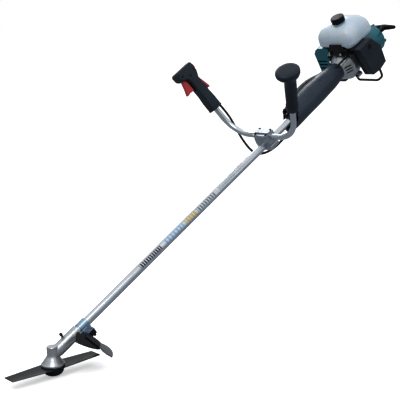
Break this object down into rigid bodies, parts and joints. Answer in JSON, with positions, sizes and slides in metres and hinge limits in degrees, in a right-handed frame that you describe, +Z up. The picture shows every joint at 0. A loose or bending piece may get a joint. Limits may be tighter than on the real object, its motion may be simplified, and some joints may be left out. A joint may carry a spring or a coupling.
{
  "type": "petrol brush cutter",
  "caption": "U-handle petrol brush cutter: straight shaft with a flat steel blade and guard, grips with throttle control, hip pad, and an engine with tank, air cleaner and recoil starter.",
  "frame": {"origin": "centre of the harness hanger's eye on the main pipe", "axes": "+X level from the blade towards the engine, +Y to the operator's right along the hanger eye's hole, +Z up along the blade's arbor; the shaft rises 30 degrees from +X"},
  "size_m": [1.6859, 0.5677, 1.0197],
  "materials": {
    "blade_steel": "dark satin",
    "steel": "satin",
    "zinc_plate": "zinc plated",
    "black_screw": "black oxide",
    "cast_grey": "cast, matt",
    "silver_tube": "satin",
    "black_plastic": "matt",
    "blue_grey_plastic": "satin",
    "teal_plastic": "glossy",
    "red_plastic": "glossy",
    "grey_plastic": "matt",
    "tank_white": "translucent white",
    "black_rubber": "matt",
    "bulb_clear": "translucent",
    "filter_foam": "open foam",
    "black_steel": "black painted",
    "bronze": "sintered bronze"
  },
  "bodies": {
    "machine": {"air_cleaner_case": "black_plastic", "air_cleaner_cover": "blue_grey_plastic", "air_filter": "filter_foam", "ball_bearings": "steel", "carburettor": "cast_grey", "clutch_housing": "cast_grey", "con_rod": "steel", "control_cable": "black_rubber", "control_left_shell": "blue_grey_plastic", "control_right_shell": "blue_grey_plastic", "crankcase": "cast_grey", "cylinder": "cast_grey", "cylinder_cover": "teal_plastic", "fuel_tank": "tank_white", "gearcase": "cast_grey", "handlebar": "silver_tube", "hanger_clamp": "black_steel", "hip_pad": "blue_grey_plastic", "holder_base": "blue_grey_plastic", "holder_cap": "blue_grey_plastic", "holder_middle": "blue_grey_plastic", "left_grip": "blue_grey_plastic", "main_pipe": "silver_tube", "muffler": "black_steel", "pad_back": "blue_grey_plastic", "piston": "silver_tube", "protector": "black_plastic", "protector_clamp": "zinc_plate", "protector_lip": "grey_plastic", "shaft_bushes": "bronze", "socket_screws": "black_screw", "spark_plug": "black_rubber", "stand_frame": "black_steel", "starter_housing": "teal_plastic", "tank_bracket": "black_steel"},
    "cutter": {"blade": "blade_steel", "arbor_shaft": "steel", "blade_holder": "steel", "clamp_washer": "steel", "stabilizer_cup": "black_steel", "arbor_nut": "steel", "bevel_gear": "steel"},
    "driveline": {"drive_shaft": "steel", "bevel_pinion": "steel", "clutch_drum": "steel"},
    "crankshaft": {"crank_front": "steel", "crank_rear": "steel", "flywheel": "cast_grey", "clutch_shoes": "steel"},
    "starter_reel": {"starter_reel": "black_plastic"},
    "starter_handle": {"starter_handle": "black_plastic"},
    "throttle_trigger": {"throttle_trigger": "red_plastic"},
    "lock_lever": {"lock_lever": "red_plastic"},
    "stop_switch": {"stop_switch": "red_plastic"},
    "carb_throttle": {"carb_throttle": "zinc_plate"},
    "choke_lever": {"choke_lever": "black_plastic"},
    "primer_bulb": {"primer_bulb": "bulb_clear"},
    "fuel_cap": {"fuel_cap": "black_plastic"},
    "cover_knob": {"cover_knob": "black_plastic"}
  },
  "joints": [
    {"name": "blade_spin", "type": "hinge", "parent": "machine", "child": "cutter", "pos_m": [-1.0169, 0, -0.62868], "axis": [0, 0, 1], "continuous": true},
    {"name": "drive_spin", "type": "hinge", "parent": "machine", "child": "driveline", "pos_m": [-0.41068, 0, -0.27868], "axis": [0.866, 0, 0.5], "continuous": true},
    {"name": "crank_spin", "type": "hinge", "parent": "machine", "child": "crankshaft", "pos_m": [0.36874, 0, 0.17132], "axis": [0.866, 0, 0.5], "continuous": true},
    {"name": "reel_spin", "type": "hinge", "parent": "machine", "child": "starter_reel", "pos_m": [0.43023, 0, 0.20682], "axis": [0.866, 0, 0.5], "continuous": true},
    {"name": "starter_pull", "type": "slide", "parent": "machine", "child": "starter_handle", "axis": [0.866, 0, 0.5], "range_m": [0, 0.45]},
    {"name": "throttle", "type": "hinge", "parent": "machine", "child": "throttle_trigger", "pos_m": [-0.26671, 0.25148, 0.13195], "axis": [-0.1919, -0.9234, 0.3324], "range_deg": [0, 10], "stiffness_Nm_per_rad": 0.35, "springref_deg": -5.73},
    {"name": "throttle_lock", "type": "hinge", "parent": "machine", "child": "lock_lever", "pos_m": [-0.20901, 0.23843, 0.12901], "axis": [0.1919, 0.9234, -0.3324], "range_deg": [0, 8.3], "stiffness_Nm_per_rad": 0.08, "springref_deg": -5.73},
    {"name": "stop_slide", "type": "slide", "parent": "machine", "child": "stop_switch", "axis": [-0.4617, 0.3838, 0.7997], "range_m": [0, 0.005]},
    {"name": "carb_throttle_turn", "type": "hinge", "parent": "machine", "child": "carb_throttle", "pos_m": [0.34768, -0.062, 0.1938], "axis": [0.5, 0, -0.866], "range_deg": [0, 50]},
    {"name": "choke_turn", "type": "hinge", "parent": "machine", "child": "choke_lever", "pos_m": [0.38739, -0.087, 0.18902], "axis": [0.866, 0, 0.5], "range_deg": [0, 40]},
    {"name": "primer_press", "type": "slide", "parent": "machine", "child": "primer_bulb", "axis": [-0.5, 0, 0.866], "range_m": [0, 0.0035], "stiffness_N_per_m": 600, "springref_m": -0.0005},
    {"name": "fuel_cap_turn", "type": "hinge", "parent": "machine", "child": "fuel_cap", "pos_m": [0.26642, -0.015, 0.30855], "axis": [-0.5, 0, 0.866], "range_deg": [0, 180]},
    {"name": "cover_knob_turn", "type": "hinge", "parent": "machine", "child": "cover_knob", "pos_m": [0.31536, -0.11, 0.20978], "axis": [0, -1, 0], "range_deg": [0, 180]}
  ],
  "couplings": [
    {"joint": "drive_spin", "follows": "blade_spin", "ratio": -1.3571},
    {"joint": "reel_spin", "follows": "starter_pull", "rad_per_m": 37.037},
    {"joint": "carb_throttle_turn", "follows": "throttle", "ratio": 5}
  ]
}
